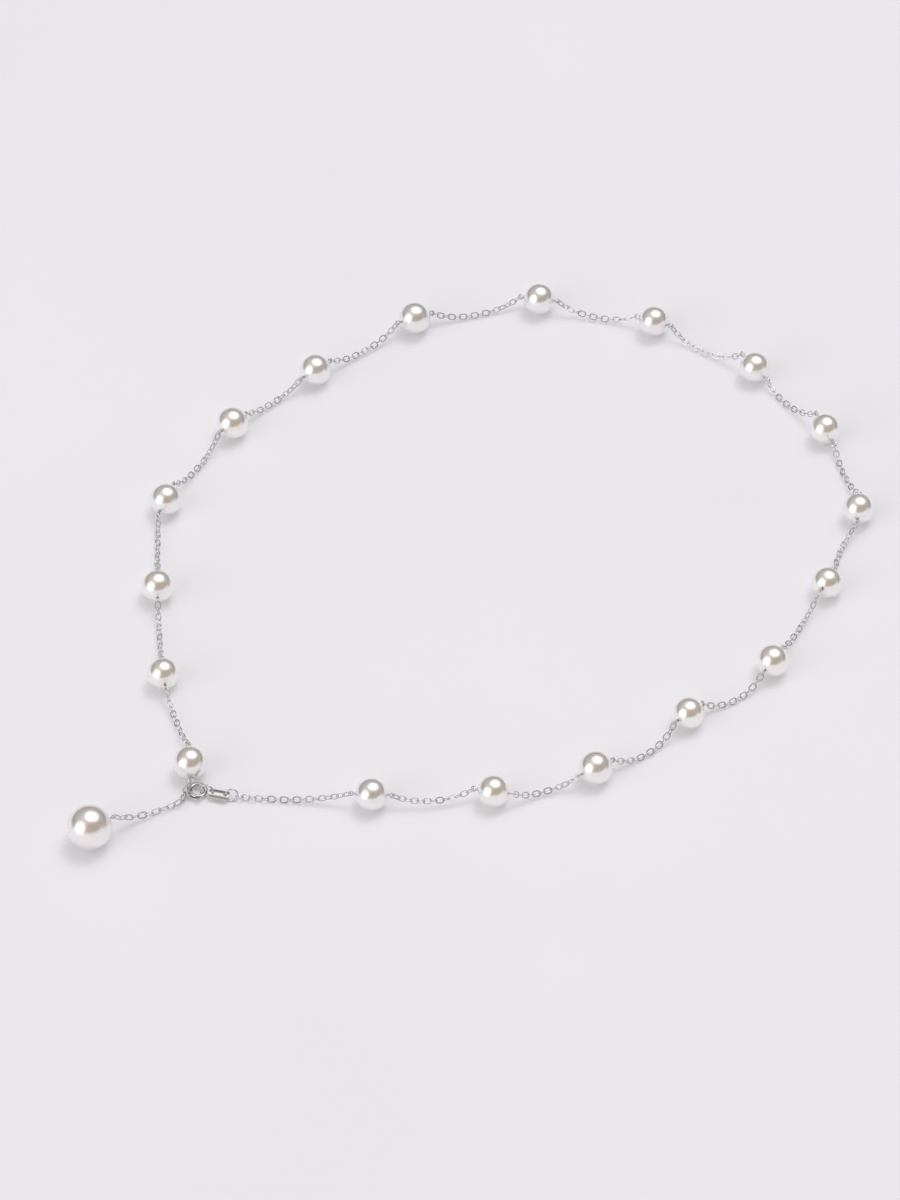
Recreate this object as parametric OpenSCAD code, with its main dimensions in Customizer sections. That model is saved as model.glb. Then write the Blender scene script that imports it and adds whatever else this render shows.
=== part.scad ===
// Floating pearl necklace: single drilled pearls, each on its own wire pin,
// joined by short runs of fine cable chain and closed by a spring ring. A short
// tail chain with one larger pearl hangs from the ring that the clasp is on.
// It lies on a flat surface as an open loop. Millimetres, +Z up, +Y away from
// the viewer, origin on the surface below the middle of the whole outline.

/* [Pearls] */
// Diameter of a strand pearl of middle size
pearl_d = 6.5; // [6.2:0.1:6.8]
// Diameter of the large pearl at the end of the tail
drop_d = 8.9; // [8.4:0.1:9.4]
// Diameter of the hole drilled in a pearl
hole_d = 0.58; // [0.54:0.02:0.8]
// How deep the large pearl is drilled, from the chain's side only
peg_hole = 6; // [4:0.5:7]

/* [Wire pins] */
// Diameter of the shank inside a pearl
shank_d = 0.32; // [0.26:0.02:0.34]
// Outside diameter of the loop at the end of a pin
eye_od = 1.3; // [1.2:0.05:1.5]
// Diameter of the wire of that loop
eye_wire = 0.32; // [0.28:0.02:0.36]
// Space between the skin of a pearl and the loop
eye_gap = 0.1; // [0.05:0.05:0.2]

/* [Chain] */
// Outside length of a link of the strand
link_l = 1.85; // [1.8:0.05:2.1]
// Outside width of every link
link_w = 1.35; // [1.3:0.05:1.45]
// Wire diameter of every link
link_wire = 0.24; // [0.2:0.02:0.26]
// Outside length of a link of the tail chain
tail_link_l = 2.2; // [2:0.05:2.4]
// Free play between two links that pull on each other
play = 0.1; // [0.1:0.01:0.14]
// Uneven twist of the links along a run, degrees
twist = 12; // [0:1:15]
// How flat a run lies between its two pearls, 2 is a parabola
flatness = 2.6; // [2:0.1:3]

/* [Spring ring clasp] */
// Outside diameter of the spring ring
spring_od = 4; // [3.9:0.1:4.4]
// Diameter of its tube
spring_tube = 0.86; // [0.82:0.02:0.9]
// Diameter of the bore that the tongue slides in
spring_bore = 0.6; // [0.56:0.02:0.62]
// Diameter of the tongue wire
tongue_d = 0.48; // [0.44:0.02:0.5]
// Height of the ring's middle plane above the surface
spring_z = 0.98; // [0.96:0.02:1.1]
// Opening between the two ends of the fixed tube, degrees
mouth = 40; // [36:1:42]
// How far the thumb knob slides the tongue back, degrees
travel = 40; // [30:1:40]
// Outside diameter of the soldered loop
spring_eye_od = 1.5; // [1.4:0.05:1.6]

/* [Rings and tag] */
// Outside diameter of the jump ring that the clasp and the tail hang on
clasp_ring_od = 2.6; // [2.5:0.1:2.8]
// Outside diameter of the jump ring that the spring ring hooks
hook_ring_od = 2.8; // [2.7:0.1:2.9]
// Outside diameter of the jump ring between the tag and the strand
end_ring_od = 2.7; // [2.5:0.1:2.8]
// Wire diameter of the jump rings
ring_wire = 0.32; // [0.28:0.02:0.34]
// How steeply the hook ring and the end ring stand, degrees
ring_lean = 60; // [58:1:64]
// Distance between the two holes of the bare tag
tag_pitch = 2.6; // [2.4:0.1:3]
// Width of the tag
tag_w = 2.5; // [2.2:0.1:2.6]
// Thickness of the tag's curved plate
tag_t = 0.4; // [0.34:0.02:0.44]

/* [Hidden] */
$fn = 48;

// Columns of a station: one pearl on its pin, counted from the clasp round the
// back. Heading is the way the pin points to the next pearl, tilt is how far
// that end points up. Tint 0 is cream, 1 is rose, 2 is silver.
X = 0;
Y = 1;
SIZE = 2;
HEADING = 3;
TILT = 4;
TINT = 5;
STATIONS = [
    // x, y, size, heading, tilt, tint
    [-57.0, -55.55, 1.03, 93, 11, 1],
    [-63.0, -31.9, 0.98, 98, 0, 0],
    [-64.9, -8.3, 1.02, 92, 0, 0],
    [-64.0, 15.9, 1.00, 68, 10, 2],
    [-51.0, 37.6, 1.02, 50, -6, 0],
    [-34.1, 53.2, 1.00, 42, 0, 2],
    [-13.5, 68.5, 1.02, 28, -6, 2],
    [12.7, 74.3, 1.00, -16, 6, 2],
    [36.7, 67.7, 0.97, -26, 4, 2],
    [57.4, 54.0, 0.97, -48, -16, 2],
    [71.3, 36.1, 0.97, -62, -18, 0],
    [77.1, 13.4, 0.98, -96, 0, 2],
    [69.9, -7.2, 0.98, -116, 20, 0],
    [58.1, -28.5, 1.00, -122, 0, 0],
    [41.0, -42.4, 0.98, -134, 6, 0],
    [22.4, -56.9, 1.03, -146, 4, 1],
    [2.4, -62.8, 0.98, -194, -5, 0],
    [-21.4, -63.7, 1.00, -184, 0, 2],
];
// The tail's pearl: its pin points to the clasp
DROP = [-75.9, -73.1, drop_d / pearl_d, 28, 3, 1];

// Columns of a run of chain: the height of its middle above the surface and how
// far the middle lies to the right of the straight way
MID = 0;
BOW = 1;
RUNS = [
    // mid, bow
    [2.15, 0],
    [1.1, 0],
    [1.1, 0],
    [1.1, -0.1],
    [0.9, 0.1],
    [1.0, -0.2],
    [1.1, 0.3],
    [0.8, 0.9],
    [1.0, 0.3],
    [0.8, 0.5],
    [0.8, 0.5],
    [0.8, 0.4],
    [0.9, 1.2],
    [1.3, 0.2],
    [0.8, -1.3],
    [0.8, -1.3],
    [1.1, 0.4],
    [1.8, -1.2],
    [0.8, 0.2],
    [1.0, 0.4],
];
TAIL = 19;
LAST = len(STATIONS) - 1;
STEPS = 48;

// Where the clasp lies: the middle of the spring ring, the way to its soldered
// loop, the way to the tag, the way from the tag to the strand, and the plane of
// the upright clasp ring
SPRING = [-55.4, -60.7];
LOOP_WAY = 205;
TAG_WAY = -14;
END_WAY = -1;
CLASP_RING_WAY = 64;
CLASP_RING_Z = 1.35;
FLOOR_GAP = 0.04;
PEG_END_GAP = 0.3;

// Angles round the spring ring, clockwise from the way to the tag
MOUTH_AT = 14;
SOCKET = 9;
TONGUE_TIP = 9;
TONGUE_BEHIND = 24;
KNOB_BACK = 6;
SLOT_MARGIN = 9;
COLLAR_AT = [150, 158, 166];
COLLAR_SPAN = 5;

spring_r = (spring_od - spring_tube) / 2;
loop_overlap = 0.2;
loop_reach = spring_od / 2 + spring_eye_od / 2 - loop_overlap;
tongue_end = MOUTH_AT + mouth + TONGUE_BEHIND;
knob_at = tongue_end - KNOB_BACK;
knob_wire = 0.3;
knob_d = 0.5;
slot_h = 0.42;
tag_hole = 0.96;
tag_margin = 0.75;
tag_r = 1.8;
tag_drop = 0.8;
tag_top = 1.46;

// The hook ring stands round the tube of the spring ring, in the frame whose
// first axis runs from the middle of the spring ring along the tag
hook_r = (hook_ring_od - ring_wire) / 2;
hook_u = spring_r + 0.25;
hook_z = hook_ring_od / 2 * sin(ring_lean) + FLOOR_GAP;
end_r = (end_ring_od - ring_wire) / 2;
tag_u = hook_u + hook_r + tag_pitch / 2;
end_z = end_ring_od / 2 * sin(ring_lean) + FLOOR_GAP;

function two(n) = n < 10 ? str("0", n) : str(n);
PEARLS = [for (i = [0:LAST]) str("pearl_", two(i + 1))];
PINS = [for (i = [0:LAST]) str("pin_", two(i + 1))];

function way(heading, tilt = 0) =
    [cos(tilt) * cos(heading), cos(tilt) * sin(heading), sin(tilt)];
function size_of(s) = pearl_d * s[SIZE];
function centre(s) = [s[X], s[Y], size_of(s) / 2];

function pin_way(s) = way(s[HEADING], s[TILT]);

// Middle of a pin's loop: side 1 is the end that points along the heading
function eye(s, side) =
    centre(s) + side * (size_of(s) / 2 + eye_gap + eye_od / 2) * pin_way(s);

// Ways square to v, one level and one upward, and the roll about v at which the
// face of a shape also holds the way w
function level(v) = [-v[1], v[0], 0] / norm([v[0], v[1]]);
function upward(v) = cross(v, level(v)) / norm(v);
function roll_to(v, w) = atan2(w * upward(v), w * level(v));

spring_centre = [SPRING[0], SPRING[1], spring_z];
loop_centre = spring_centre + loop_reach * way(LOOP_WAY);
clasp_r = (clasp_ring_od - ring_wire) / 2;
clasp_rise = CLASP_RING_Z - spring_z;
clasp_ring_centre = [for (k = [0:1]) loop_centre[k]
    - sqrt(clasp_r * clasp_r - clasp_rise * clasp_rise) * way(CLASP_RING_WAY)[k], CLASP_RING_Z];
end_ring_centre = [SPRING[0], SPRING[1], end_z]
    + (tag_u + tag_pitch / 2) * way(TAG_WAY) + end_r * way(END_WAY);
end_ring_slope = [for (k = [0:1]) cos(ring_lean) * way(END_WAY + 90)[k], sin(ring_lean)];

// The tail pulls sideways at the far side of the clasp ring
tail_hook = clasp_ring_centre - clasp_r * way(CLASP_RING_WAY);
tail_way = [for (k = [0:1]) eye(DROP, 1)[k] - tail_hook[k], 0];
tail_start = tail_hook - (ring_wire + play) / 2 * tail_way / norm(tail_way);

// A run goes from a ring or a pin's loop to the next loop
function run_start(k) = k == 0 ? clasp_ring_centre : k == TAIL ? tail_start
    : k == LAST + 1 ? end_ring_centre : eye(STATIONS[k - 1], 1);
function end_pin(k) = k == TAIL ? DROP : STATIONS[min(k, LAST)];
function run_end(k) = eye(end_pin(k), k > LAST ? 1 : -1);
function hold(od, wire) = od / 2 - wire - play / 2;
function start_hold(k) = k == TAIL ? 0 : k == 0 ? hold(clasp_ring_od, ring_wire)
    : k == LAST + 1 ? hold(end_ring_od, ring_wire) : hold(eye_od, eye_wire);
// A way in the plane of the loop or ring that a run starts from
function start_plane(k) = k == 0 || k == TAIL ? [0, 0, 1]
    : k == LAST + 1 ? end_ring_slope : pin_way(STATIONS[k - 1]);
function length_of(k) = k == TAIL ? tail_link_l : link_l;
function pitch_most(k) = length_of(k) - 2 * link_wire - play;

// Point of a run at share t of its way: it sags and bows, and a link can lie on
// the surface but not sink into it
function route(k, t) =
    let (a = run_start(k), b = run_end(k), off = abs(2 * t - 1),
        side = [b[1] - a[1], a[0] - b[0], 0],
        sag = (a[2] + b[2]) / 2 - RUNS[k][MID],
        p = a + t * (b - a) + (1 - off * off) * RUNS[k][BOW] * side / norm(side)
            - [0, 0, (1 - pow(off, flatness)) * sag])
    [p[0], p[1], max(p[2], link_w / 2 + FLOOR_GAP)];

// Length run so far against share of the way
function lengths(k) = [for (i = 0, s = 0; i <= STEPS;
    s = s + norm(route(k, (i + 1) / STEPS) - route(k, i / STEPS)), i = i + 1) [s, i / STEPS]];

// Points where neighbouring links pull on each other, evenly spaced along a run
function joints(k) =
    let (table = lengths(k), first = start_hold(k),
        free = table[STEPS][0] - first - hold(eye_od, eye_wire),
        n = ceil(free / pitch_most(k)))
    [for (j = [0:n]) route(k, lookup(first + free * j / n, table))];
function first_way(k) = let (p = joints(k)) p[1] - p[0];
function last_way(k) = let (p = joints(k), n = len(p) - 1) p[n] - p[n - 1];

// Rolls of the links: the end ones stand square to the loops that hold them, and
// between them each turns a quarter on from the one before, a little unevenly.
// Toward the middle they settle at 45 degrees, as links do that lie on two sides.
function rolls(k, p) =
    let (last = len(p) - 2,
        start = roll_to(p[1] - p[0], start_plane(k)) + 90,
        end = roll_to(p[last + 1] - p[last], pin_way(end_pin(k))) + 90,
        rest = end - start - 90 * last,
        drift = (rest - 180 * round(rest / 180)) / last,
        middle = start + drift * last / 2,
        settle = last > 4 ? 45 + 90 * round((middle - 45) / 90) - middle : 0)
    [for (j = [0:last]) start + (90 + drift) * j
        + sin(180 * j / last) * (settle + twist * sin(47 * j + 80 * k))];

// Turns a shape along +X to point along v, after a roll about itself
module along(v, roll = 0) {
    rotate([0, -atan2(v[2], norm([v[0], v[1]])), atan2(v[1], v[0])])
        rotate([roll, 0, 0]) children();
}

module ring(od, wire) {
    rotate_extrude() translate([(od - wire) / 2, 0]) circle(d = wire, $fn = 24);
}

// One link, its length along X and its face in the XY plane
module link(length) {
    straight = (length - link_w) / 2;
    r = (link_w - link_wire) / 2;
    for (s = [-1, 1]) {
        translate([s * straight, 0, 0]) rotate(-90 * s)
            rotate_extrude(angle = 180) translate([r, 0]) circle(d = link_wire, $fn = 24);
        translate([-straight, s * r, 0]) rotate([0, 90, 0])
            cylinder(d = link_wire, h = 2 * straight, $fn = 24);
    }
}

module run(k) {
    points = joints(k);
    turns = rolls(k, points);
    for (j = [0:len(turns) - 1])
        translate((points[j] + points[j + 1]) / 2)
            along(points[j + 1] - points[j], turns[j]) link(length_of(k));
}

// A pearl is drilled right through unless a depth is given
module pearl(s, depth = undef) {
    tints = ["ivory", "mistyrose", "gainsboro"];
    length = is_undef(depth) ? size_of(s) + 1 : depth + 0.5;
    color(tints[s[TINT]]) translate(centre(s)) difference() {
        rotate(s[HEADING] + 90) sphere(d = size_of(s), $fn = 96);
        along(pin_way(s)) translate([(size_of(s) + 1 - length) / 2, 0, 0]) rotate([0, 90, 0])
            cylinder(d = hole_d, h = length, center = true);
    }
}

// A pin: each loop turns into the plane of the chain's pull on it. Where only
// one end has a chain, the shank is a peg that ends inside the pearl
module pin(s, front, back = undef) {
    reach = size_of(s) / 2 + eye_gap;
    seat = reach + eye_wire / 2;
    start = is_undef(back) ? size_of(s) / 2 - peg_hole + PEG_END_GAP : -seat;
    pulls = is_undef(back) ? [front] : [front, back];
    color("silver") translate(centre(s)) along(pin_way(s)) {
        translate([start, 0, 0]) rotate([0, 90, 0])
            cylinder(d = shank_d, h = seat - start, $fn = 24);
        for (i = [0:len(pulls) - 1])
            rotate([roll_to(pin_way(s), pulls[i]), 0, 0])
                translate([(1 - 2 * i) * (reach + eye_od / 2), 0, 0]) ring(eye_od, eye_wire);
    }
}

module chain_left() {
    color("silver") for (k = [0:8]) run(k);
}

module chain_right() {
    color("silver") for (k = [9:LAST + 1]) run(k);
}

module tail_chain() {
    color("silver") run(TAIL);
}

// Stretch of a bent rod or bore round the spring ring
module arc(start, end, d) {
    rotate(start) rotate_extrude(angle = end - start) translate([spring_r, 0])
        circle(d = d, $fn = 32);
}

module at_spring() {
    translate(spring_centre) rotate(TAG_WAY) mirror([0, 1, 0]) children();
}

module spring_ring() {
    loop_at = TAG_WAY - LOOP_WAY;
    bore_end = tongue_end + travel + 4;
    color("silver") at_spring() {
        difference() {
            arc(MOUTH_AT + mouth, MOUTH_AT + 360, spring_tube);
            arc(MOUTH_AT + mouth - 2, bore_end, spring_bore);
            arc(MOUTH_AT - SOCKET, MOUTH_AT + 2, spring_bore);
            rotate(knob_at - SLOT_MARGIN) rotate_extrude(angle = travel + 2 * SLOT_MARGIN)
                translate([spring_r, -slot_h / 2]) square([spring_tube, slot_h]);
        }
        for (c = COLLAR_AT)
            arc(loop_at + c - COLLAR_AT[0] + 16, loop_at + c - COLLAR_AT[0] + 16 + COLLAR_SPAN,
                spring_tube + 0.14);
        rotate(loop_at) translate([loop_reach, 0, 0]) ring(spring_eye_od, ring_wire);
    }
}

module clasp_tongue() {
    color("silver") at_spring() {
        arc(TONGUE_TIP, tongue_end, tongue_d);
        rotate(knob_at) translate([spring_r, 0, 0]) {
            rotate([0, 90, 0]) cylinder(d = knob_wire, h = spring_tube, $fn = 24);
            translate([spring_tube, 0, 0]) sphere(d = knob_d);
        }
    }
}

module clasp_ring() {
    color("silver") translate(clasp_ring_centre) rotate(CLASP_RING_WAY) rotate([90, 0, 0])
        ring(clasp_ring_od, ring_wire);
}

module on_tag_line(u, z) {
    translate([SPRING[0], SPRING[1], 0]) rotate(TAG_WAY) translate([u, 0, z]) children();
}

module hook_ring() {
    color("silver") on_tag_line(hook_u, hook_z) rotate([ring_lean, 0, 0])
        ring(hook_ring_od, ring_wire);
}

module end_ring() {
    color("silver") translate(end_ring_centre) rotate(END_WAY) rotate([ring_lean, 0, 0])
        ring(end_ring_od, ring_wire);
}

// A bare polished tag: a plate curved like a roof tile, with rounded ends and a
// hole at each end
module tag() {
    length = tag_pitch + 2 * tag_margin;
    color("silver") on_tag_line(tag_u, tag_top - tag_drop / 2) difference() {
        intersection() {
            cube([length, tag_w, tag_drop], center = true);
            cylinder(d = length, h = 2 * tag_drop, center = true);
            translate([0, 0, tag_drop / 2 - tag_r]) rotate([0, 90, 0])
                cylinder(r = tag_r, h = 2 * length, center = true, $fn = 96);
        }
        translate([0, 0, tag_drop / 2 - tag_r]) rotate([0, 90, 0])
            cylinder(r = tag_r - tag_t, h = 3 * length, center = true, $fn = 96);
        for (s = [-1, 1]) translate([s * tag_pitch / 2, 0, 0])
            cylinder(d = tag_hole, h = 2 * tag_drop, center = true);
    }
}

for (i = [0:LAST]) {
    pearl(STATIONS[i]);
    pin(STATIONS[i], i == LAST ? last_way(LAST + 1) : first_way(i + 1), last_way(i));
}
pearl(DROP, peg_hole);  // drop_pearl
pin(DROP, last_way(TAIL));  // drop_pin
chain_left();
chain_right();
tail_chain();
spring_ring();
clasp_tongue();
clasp_ring();
hook_ring();
tag();
end_ring();
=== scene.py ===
# %% [markdown]
# # A floating pearl necklace
# Single pearls sit well apart along a fine silver cable chain, so that they seem
# to float on the neck. The loop lies open on pale paper and closes at a spring
# ring; a short tail with one larger pearl hangs from the same place. The solids
# are loaded first, and every piece made here is laid exactly over its solid.

# %% Load the solids
import math

import bmesh
import bpy
from mathutils import Matrix, Vector, noise


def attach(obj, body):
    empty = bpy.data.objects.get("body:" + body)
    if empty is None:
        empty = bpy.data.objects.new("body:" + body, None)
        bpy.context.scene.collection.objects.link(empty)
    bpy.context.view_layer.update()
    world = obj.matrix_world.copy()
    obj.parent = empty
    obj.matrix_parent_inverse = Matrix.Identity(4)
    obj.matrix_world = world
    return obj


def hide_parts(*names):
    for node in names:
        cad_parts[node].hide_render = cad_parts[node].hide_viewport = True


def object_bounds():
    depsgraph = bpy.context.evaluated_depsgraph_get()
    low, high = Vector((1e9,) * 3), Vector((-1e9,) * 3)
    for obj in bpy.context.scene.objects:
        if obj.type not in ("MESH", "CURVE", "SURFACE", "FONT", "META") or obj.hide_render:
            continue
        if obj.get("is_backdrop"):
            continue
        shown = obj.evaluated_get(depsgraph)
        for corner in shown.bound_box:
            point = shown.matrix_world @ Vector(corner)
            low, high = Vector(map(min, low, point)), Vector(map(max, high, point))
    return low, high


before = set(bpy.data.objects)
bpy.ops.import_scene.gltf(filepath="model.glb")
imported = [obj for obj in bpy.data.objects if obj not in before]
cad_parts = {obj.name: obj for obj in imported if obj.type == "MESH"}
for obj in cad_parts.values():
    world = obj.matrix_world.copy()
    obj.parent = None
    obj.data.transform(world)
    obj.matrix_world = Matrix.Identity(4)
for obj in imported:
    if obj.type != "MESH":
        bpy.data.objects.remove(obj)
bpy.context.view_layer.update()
MM = 0.001

# %% [markdown]
# ## The camera
# A long lens from a little under fifty degrees above the table keeps the loop's
# shape almost free of perspective. The lens is given for a sensor of 36 mm along
# the picture's long side, so its angle doesn't depend on the render's size.

# %% Place the camera
CAMERA_PLACE = Vector((-6.075, -830.12, 887.3)) * MM
LOOKS_DOWN = 47.22
LENS = 180

camera = bpy.data.objects.new("camera", bpy.data.cameras.new("camera"))
bpy.context.scene.collection.objects.link(camera)
camera.location = CAMERA_PLACE
camera.rotation_euler = (math.radians(90 - LOOKS_DOWN), 0, 0)
camera.data.lens = LENS
camera.data.sensor_width = 36
camera.data.clip_start = 0.01
camera.data.dof.use_dof = False
bpy.context.scene.camera = camera
print("camera looks down", LOOKS_DOWN, "degrees through a lens of", LENS, "mm")

# %% [markdown]
# ## Small helpers for node trees
# Shader and geometry trees are both built from many small nodes. One helper adds
# a node, sets its menus and fills its inputs, either with a number or with the
# output that feeds it. A second one starts a tree with named inputs and outputs.

# %% Adding a node and starting a tree
def add(tree, kind, menus=None, inputs=None):
    """One node with its menus set and its inputs filled or fed."""
    made = tree.nodes.new(kind)
    for name, choice in (menus or {}).items():
        setattr(made, name, choice)
    for name, value in (inputs or {}).items():
        if isinstance(value, bpy.types.NodeSocket):
            tree.links.new(value, made.inputs[name])
        else:
            made.inputs[name].default_value = value
    return made


def start_tree(name, kind, takes, gives):
    """A tree with named inputs and outputs, each name with its socket type and default."""
    tree = bpy.data.node_groups.new(name, kind)
    for label, (socket, value) in takes.items():
        made = tree.interface.new_socket(label, in_out="INPUT", socket_type="NodeSocket" + socket)
        if value is not None:
            made.default_value = value
    for label, socket in gives.items():
        tree.interface.new_socket(label, in_out="OUTPUT", socket_type="NodeSocket" + socket)
    return tree, tree.nodes.new("NodeGroupInput").outputs, tree.nodes.new("NodeGroupOutput").inputs


print("helpers for nodes and trees are ready")

# %% [markdown]
# Three more helpers do what nearly every tree needs: a sum on two numbers, a
# smooth step from one value to another, and a mix of two colours.

# %% Sums, steps and blends
def calc(tree, how, a, b=0.0):
    """The result of one sum on two numbers."""
    return add(tree, "ShaderNodeMath", {"operation": how}, {0: a, 1: b}).outputs[0]


def ramp(tree, value, low, high, first=0.0, last=1.0):
    """A smooth step from first to last while value goes from low to high."""
    return add(tree, "ShaderNodeMapRange", {"interpolation_type": "SMOOTHSTEP"},
               {"Value": value, "From Min": low, "From Max": high,
                "To Min": first, "To Max": last}).outputs[0]


def blend(tree, factor, a, b, how="MIX"):
    """Colour a turned into colour b by a factor."""
    mix = add(tree, "ShaderNodeMix", {"data_type": "RGBA", "blend_type": how})
    for index, value in ((0, factor), (6, a), (7, b)):
        if isinstance(value, bpy.types.NodeSocket):
            tree.links.new(value, mix.inputs[index])
        else:
            mix.inputs[index].default_value = value
    return mix.outputs[2]


print("helpers for numbers and colours are ready")

# %% [markdown]
# ## Studio light
# Pearls are mirrors with a milky body, so what they show is mostly the room. Two
# umbrellas shine on the table, one almost overhead and one at the left front.
# Their cloth is brightest in the middle and fades outward, so each leaves a round
# glow with a soft edge on every pearl. The bulb in front of the high one is small
# and strong, which draws the shadows. A thin haze of light hangs over both.
#
# Between the lights the pearls show the dim, warm room, which is darkest at its
# foot. A white card before the table lights them from below. All of it is far
# away next to a 6 mm pearl, so it is painted by direction alone.

# %% Start the room
world = bpy.data.worlds.new("room")
bpy.context.scene.world = world
world.use_nodes = True
room = world.node_tree
where = add(room, "ShaderNodeTexCoord").outputs["Generated"]
_, north, up = add(room, "ShaderNodeSeparateXYZ", inputs={0: where}).outputs
bpy.context.scene.view_settings.view_transform = "Standard"
bpy.context.scene.view_settings.look = "None"
print("the", world.name, "is painted by direction")


def umbrella(toward, bright_to, fades_to, radiance):
    """A round light toward a direction, even out to one angle and gone at another, in degrees."""
    near = add(room, "ShaderNodeVectorMath", {"operation": "DOT_PRODUCT"},
               {0: where, 1: Vector(toward).normalized()}).outputs["Value"]
    edge, core = (math.cos(math.radians(angle)) for angle in (fades_to, bright_to))
    return ramp(room, near, edge, core, 0.0, radiance)

# %% Paint the walls, the card and the umbrellas
NEAR_WALL, FAR_WALL = (0.36, 0.295, 0.225, 1), (0.39, 0.36, 0.345, 1)
DARK_FOOT, WHITE_CARD = (0.08, 0.07, 0.065, 1), (0.83, 0.82, 0.83, 1)
walls = blend(room, ramp(room, north, -0.6, 0.5), NEAR_WALL, FAR_WALL)
walls = blend(room, ramp(room, up, 0.02, 0.5, 0.6, 0.0), walls, DARK_FOOT)
card = calc(room, "MULTIPLY", ramp(room, up, 0.36, 0.24), ramp(room, north, 0.1, -0.3))
dim_room = blend(room, card, walls, WHITE_CARD)
high = umbrella((0.2, 0.3, 0.93), 14, 37, 1.2)
bulb = umbrella((0.24, 0.3, 0.92), 3, 12, 5.5)
side = umbrella((-0.71, -0.48, 0.51), 12, 35, 1.2)
haze = umbrella((-0.35, 0, 0.94), 5, 42, 0.16)
lit = calc(room, "ADD", calc(room, "ADD", high, side), calc(room, "ADD", bulb, haze))
glow = add(room, "ShaderNodeCombineXYZ", inputs={"X": lit, "Y": lit, "Z": lit}).outputs[0]
background = room.nodes["Background"]
room.links.new(blend(room, 1.0, dim_room, glow, "ADD"), background.inputs["Color"])
background.inputs["Strength"].default_value = 1
print("room painted with", len(room.nodes), "nodes")

# %% [markdown]
# ## The table
# The necklace lies on smooth pale paper with a breath of lavender. A wide plane
# is enough, and very soft clouds of noise keep its tone from being dead flat. The
# paper lies on a light table that is turned low, so it glows faintly by itself.
# That keeps the shadows pale and open.

# %% A plain material and its fine relief
def plain_material(name):
    """A new material with its node tree and its Principled shader."""
    material = bpy.data.materials.new(name)
    material.use_nodes = True
    return material, material.node_tree, material.node_tree.nodes["Principled BSDF"]


def fine_relief(tree, skin, pattern, strength, depth):
    """Lets a pattern's highs and lows tilt the shading, too fine for the mesh."""
    bump = add(tree, "ShaderNodeBump", inputs={
        "Strength": strength, "Distance": depth, "Height": pattern})
    tree.links.new(bump.outputs[0], skin.inputs["Normal"])


print("helpers for materials are ready")

# %% Mix the paper
paper, tree, skin = plain_material("pale_paper")
place = add(tree, "ShaderNodeTexCoord").outputs["Object"]
clouds = add(tree, "ShaderNodeTexNoise", inputs={"Vector": place, "Scale": 9, "Detail": 3})
tone = blend(tree, ramp(tree, clouds.outputs["Fac"], 0.3, 0.7),
             (0.755, 0.768, 0.838, 1), (0.775, 0.788, 0.853, 1))
tree.links.new(tone, skin.inputs["Base Color"])
fibre = add(tree, "ShaderNodeTexNoise", inputs={"Vector": place, "Scale": 900, "Detail": 4})
fine_relief(tree, skin, fibre.outputs["Fac"], 0.08, 0.1 * MM)
skin.inputs["Roughness"].default_value = 0.75
skin.inputs["Specular IOR Level"].default_value = 0.2
skin.inputs["Emission Color"].default_value = (1, 0.985, 1, 1)
skin.inputs["Emission Strength"].default_value = 0.14
print(paper.name, "has", len(tree.nodes), "nodes")

# %% Lay the paper
TABLE_HALF = 5
sheet = bpy.data.meshes.new("table")
corners = ((-1, -1), (1, -1), (1, 1), (-1, 1))
sheet.from_pydata([(x * TABLE_HALF, y * TABLE_HALF, 0) for x, y in corners], [], [(0, 1, 2, 3)])
sheet.materials.append(paper)
table = bpy.data.objects.new("table", sheet)
bpy.context.scene.collection.objects.link(table)
table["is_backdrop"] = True
print("table", 2 * TABLE_HALF, "m wide")

# %% [markdown]
# ## Silver
# All metal is sterling silver: a clear mirror with fine marks from handling that
# change its gloss from place to place, and with a little tarnish where it is
# dull. The wire of chain and rings is given a lighter and cooler clean colour than
# the spring ring and the tag. Both are one silver, so that difference is painted
# light and shade. The marks are a shader group that both use at their own size.

# %% Shader group for marks on metal
marks, takes, gives = start_tree(
    "handling_marks", "ShaderNodeTree",
    {"Vector": ("Vector", None), "Mark Size": ("Float", 1000.0), "Least Gloss": ("Float", 0.25),
     "Most Gloss": ("Float", 0.1)},
    {"Roughness": "Float", "Height": "Float", "Tarnish": "Float"})
smear = add(marks, "ShaderNodeTexNoise", inputs={
    "Vector": takes["Vector"], "Scale": takes["Mark Size"], "Detail": 3, "Roughness": 0.6})
scratch = add(marks, "ShaderNodeTexWave", inputs={
    "Vector": takes["Vector"], "Scale": calc(marks, "MULTIPLY", takes["Mark Size"], 2.5),
    "Distortion": 14, "Detail": 3, "Detail Scale": 2.2})
gloss = ramp(marks, smear.outputs["Fac"], 0.3, 0.7, takes["Most Gloss"], takes["Least Gloss"])
marks.links.new(gloss, gives["Roughness"])
marks.links.new(calc(marks, "MULTIPLY_ADD", scratch.outputs["Fac"], 0.3), gives["Height"])
marks.links.new(ramp(marks, smear.outputs["Fac"], 0.55, 0.8), gives["Tarnish"])
print("handling_marks has", len(marks.nodes), "nodes")

# %% [markdown]
# Silver dulls to a slightly warmer grey, so the tarnish takes a little more blue
# than red away. One colour of clean metal would be true for all. But thin wire
# shows much of the dark room and the broad faces much of the lights, so the wire's
# copy is painted lighter and the copy for the spring ring and the tag darker, as
# painted light and shade.

# %% Silver for wire and for broad polished faces, painted lighter and darker
TARNISH = (0.72, 0.71, 0.7)  # what dull silver keeps of its red, green and blue


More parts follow.
